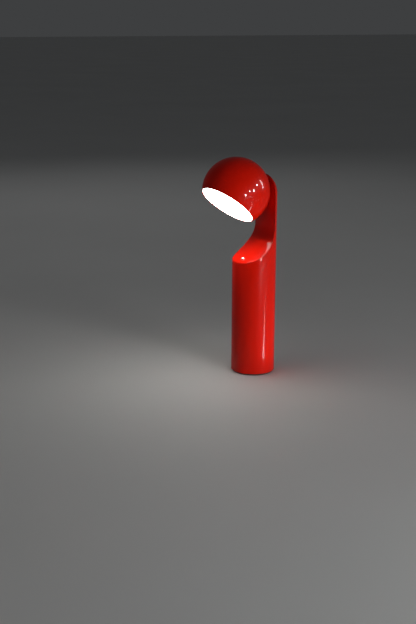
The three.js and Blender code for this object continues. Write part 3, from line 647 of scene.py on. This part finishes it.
def red_lacquer(name, drawn=0.0):
    """Glossy paint with dust in it. A drawn tube shows faint lines along it through the paint."""
    made, tree, inputs = material(name, Coat_Roughness=0.03, Coat_IOR=1.5, Specular_IOR_Level=0.03)
    dust = effect(tree, "specks", Scale=900.0)
    paint = blend_colours(tree, effect(tree, "clouds", Scale=6.0), *RED)
    if drawn:
        height = effect(tree, "hairlines", Stretch=(190.0, 190.0, 1.5))
        paint = blend_colours(tree, between(tree, height, 0.0, drawn), paint, RED_LINE)
        bump(tree, inputs, height, 0.06, GRAIN_DEPTH)
    else:
        bump(tree, inputs, effect(tree, "grain", Scale=260.0), 0.02, GRAIN_DEPTH)
    dusted = blend_colours(tree, between(tree, dust, 0.0, 0.08), paint, DUSTY_RED)
    gloss = effect(tree, "clouds", Scale=34.0)
    tree.links.new(dusted, inputs["Base Color"])
    tree.links.new(between(tree, gloss, 0.30, 0.36), inputs["Roughness"])
    tree.links.new(between(tree, dust, 0.28, 0.2), inputs["Coat Weight"])
    return made


def opal_plastic():
    made, tree, inputs = material("opal_plastic", Roughness=0.35, Emission_Strength=13.5)
    glow = effect(tree, "clouds", Scale=30.0)
    tree.links.new(blend_colours(tree, glow, *OPAL), inputs["Base Color"])
    tree.links.new(blend_colours(tree, glow, *OPAL_GLOW), inputs["Emission Color"])
    return made


def metal(name, light, dark, rough, stretch, strength=0.1):
    """Bare metal with fine tool lines, long where stretch is small."""
    made, tree, inputs = material(name, Metallic=1.0)
    lines = effect(tree, "hairlines", Stretch=stretch)
    tree.links.new(blend_colours(tree, lines, light, dark), inputs["Base Color"])
    tree.links.new(between(tree, lines, *rough), inputs["Roughness"])
    bump(tree, inputs, lines, strength, LINE_DEPTH)
    return made


def moulded(name, light, dark, rough, scale=900.0, strength=0.15, patches=45.0):
    """Moulded or cast stuff with a fine grain, and patches of a lighter and a darker tone."""
    made, tree, inputs = material(name)
    tone = effect(tree, "clouds", Scale=patches)
    tree.links.new(blend_colours(tree, tone, light, dark), inputs["Base Color"])
    tree.links.new(between(tree, tone, *rough), inputs["Roughness"])
    bump(tree, inputs, effect(tree, "grain", Scale=scale), strength, GRAIN_DEPTH)
    return made


def make_materials():
    """One finish for each slot in the record, and the drawn tube's own."""
    return {
        "red_lacquer": red_lacquer("red_lacquer"),
        "red_lacquer_drawn": red_lacquer("red_lacquer_drawn", drawn=0.3),
        "opal_plastic": opal_plastic(),
        "foot_rubber": moulded(
            "foot_rubber", *RUBBER, rough=(0.75, 0.92), scale=1400.0, strength=0.4, patches=60.0),
        "polished_metal": metal(
            "polished_metal", light=(0.95, 0.92, 0.87), dark=(0.88, 0.85, 0.79),
            rough=(0.22, 0.32), stretch=(900, 900, 120), strength=0.03),
        "plated_steel": metal(
            "plated_steel", light=(0.50, 0.51, 0.52), dark=(0.38, 0.39, 0.40),
            rough=(0.30, 0.45), stretch=(300, 2500, 300)),
        "spindle_steel": metal(
            "spindle_steel", light=(0.44, 0.44, 0.45), dark=(0.34, 0.34, 0.35),
            rough=(0.25, 0.38), stretch=(200, 3000, 200)),
        "ballast_iron": moulded(
            "ballast_iron", light=(0.075, 0.075, 0.08), dark=(0.045, 0.043, 0.042),
            rough=(0.65, 0.85), scale=500.0, strength=0.5),
        "black_plastic": moulded(
            "black_plastic", light=(0.020, 0.020, 0.022), dark=(0.030, 0.030, 0.032),
            rough=(0.42, 0.56)),
        "coil_copper": metal(
            "coil_copper", light=(0.62, 0.27, 0.11), dark=(0.40, 0.15, 0.06),
            rough=(0.25, 0.45), stretch=(2500, 200, 2500), strength=0.4),
        "circuit_board": moulded(
            "circuit_board", light=(0.018, 0.12, 0.04), dark=(0.012, 0.08, 0.03),
            rough=(0.35, 0.5), scale=300.0),
        "nylon": moulded(
            "nylon", light=(0.78, 0.75, 0.66), dark=(0.68, 0.65, 0.56), rough=(0.4, 0.55)),
        "wire_sleeve": moulded(
            "wire_sleeve", light=(0.28, 0.29, 0.31), dark=(0.20, 0.21, 0.23), rough=(0.45, 0.6)),
        "cast_aluminium": metal(
            "cast_aluminium", light=(0.66, 0.67, 0.68), dark=(0.52, 0.53, 0.54),
            rough=(0.28, 0.42), stretch=(600, 600, 40)),
        "white_plastic": moulded(
            "white_plastic", light=(0.86, 0.86, 0.84), dark=(0.80, 0.80, 0.78), rough=(0.35, 0.5)),
        "phosphor": moulded(
            "phosphor", light=(0.85, 0.60, 0.08), dark=(0.78, 0.50, 0.05), rough=(0.5, 0.65)),
    }


def paint_all(materials, pieces):
    """Every piece takes the finish named with it, and every CAD node the finish of its slot."""
    for piece, name in pieces:
        piece.data.materials.clear()
        piece.data.materials.append(materials[name])
    for part in frame["record"]["subparts"]:
        obj = frame["nodes"][part["node"]]
        finish = materials[part["material_slot"]]
        if not obj.material_slots:
            obj.data.materials.append(finish)
        for slot in obj.material_slots:
            slot.material = finish


# ---- Floor and light ----

FLOOR_SIZE = 60
WORLD_COLOUR = (0.30, 0.31, 0.32, 1)
WORLD_STRENGTH = 0.16
SPARK_DISTANCE = 1.6
LIGHT_AIM = 0.25                     # height on the lamp that most of the lights shine at

# The row of small lights that the gloss mirrors: degrees aside and above level, size, power
SPARKS = (
    (28, -2, 0.15, 8.0),
    (43, 8, 0.11, 5.5),
    (59, 9, 0.16, 9.0),
    (77, 21, 0.13, 7.0),
)

# The strip on the floor that the tube mirrors as one thin line
STRIP_FACING = 29                    # degrees from the camera to where on the tube it shows
STRIP_START = 0.06                   # its ends, measured from the tube's wall
STRIP_END = 0.60
STRIP_WIDTH = 0.016
STRIP_POWER = 0.6
STRIP_HEIGHT = 3 * MM


def make_floor():
    clear_selection()
    bpy.ops.mesh.primitive_plane_add(size=FLOOR_SIZE, location=(0, 0, 0))
    floor = added("floor")
    made, tree, inputs = material("pale_floor", Roughness=0.7)
    tone = effect(tree, "clouds", Scale=1.5)
    tree.links.new(blend_colours(tree, tone, *FLOOR_TONES), inputs["Base Color"])
    floor.data.materials.append(made)


def panel(name, width, height, power):
    """A flat light that the camera doesn't see."""
    data = bpy.data.lights.new(name, "AREA")
    data.shape = "RECTANGLE"
    data.size = width
    data.size_y = height
    data.energy = power
    light = bpy.data.objects.new(name, data)
    bpy.context.scene.collection.objects.link(light)
    light.visible_camera = False
    return light


def softbox(name, aside, above, distance, size, power, aim=LIGHT_AIM):
    """A panel that shines at the lamp, so many degrees round from the camera and above level."""
    above = math.radians(above)
    away = heading(aside) * math.cos(above) + Vector((0, 0, math.sin(above)))
    light = panel(name, *size, power)
    light.location = Vector((0, 0, aim)) + away * distance
    light.rotation_euler = away.to_track_quat("Z", "Y").to_euler()
    return light


def make_floor_strip():
    """Lies in line with how the tube's wall, where it faces the strip, mirrors the camera."""
    wall = heading(STRIP_FACING) * TUBE_R
    along = heading(2 * STRIP_FACING) * (STRIP_START + STRIP_END) / 2
    strip = panel("strip_light", STRIP_WIDTH, STRIP_END - STRIP_START, STRIP_POWER)
    strip.location = wall + along + Vector((0, 0, STRIP_HEIGHT))
    strip.rotation_euler = (math.pi, 0, CAMERA_TURN + math.radians(2 * STRIP_FACING))


def make_lights():
    """Broad soft lights that the gloss doesn't mirror, and small ones that only the gloss shows."""
    broad = [softbox(
        "key_light", aside=40, above=3, distance=2.0, size=(0.7, 0.7), power=24, aim=0.15)]
    bright = [
        softbox(f"row_light_{index + 1}", aside, above, SPARK_DISTANCE, (size, size), power)
        for index, (aside, above, size, power) in enumerate(SPARKS)
    ]
    bright.append(softbox(
        "tall_light", aside=101, above=16, distance=SPARK_DISTANCE, size=(0.08, 0.6), power=8))
    broad.append(softbox(
        "fill_light", aside=-58, above=20, distance=2.6, size=(2.6, 2.6), power=4.8, aim=0.12))
    broad.append(softbox(
        "back_light", aside=195, above=35, distance=2.6, size=(2.0, 2.0), power=3.5))
    for light in broad:
        light.visible_glossy = False
    for light in bright:
        light.visible_diffuse = False
    make_floor_strip()


def make_world():
    world = bpy.data.worlds.new("studio")
    world.use_nodes = True
    sky = world.node_tree.nodes["Background"].inputs
    sky["Color"].default_value = WORLD_COLOUR
    sky["Strength"].default_value = WORLD_STRENGTH
    bpy.context.scene.world = world
    bpy.context.scene.view_settings.view_transform = "Standard"


# ---- The lamp ----

make_camera()
lamp_pieces = [
    (make_body(), "red_lacquer_drawn"),
    (make_scoop_plate(), "red_lacquer"),
    (make_foot(), "foot_rubber"),
    (make_button(), "polished_metal"),
    (make_inlet(), "black_plastic"),
    (make_head_shell(), "red_lacquer"),
    (make_diffuser(), "opal_plastic"),
    (make_slot_shield(), "black_plastic"),
]
paint_all(make_materials(), lamp_pieces)
make_floor()
make_lights()
make_world()
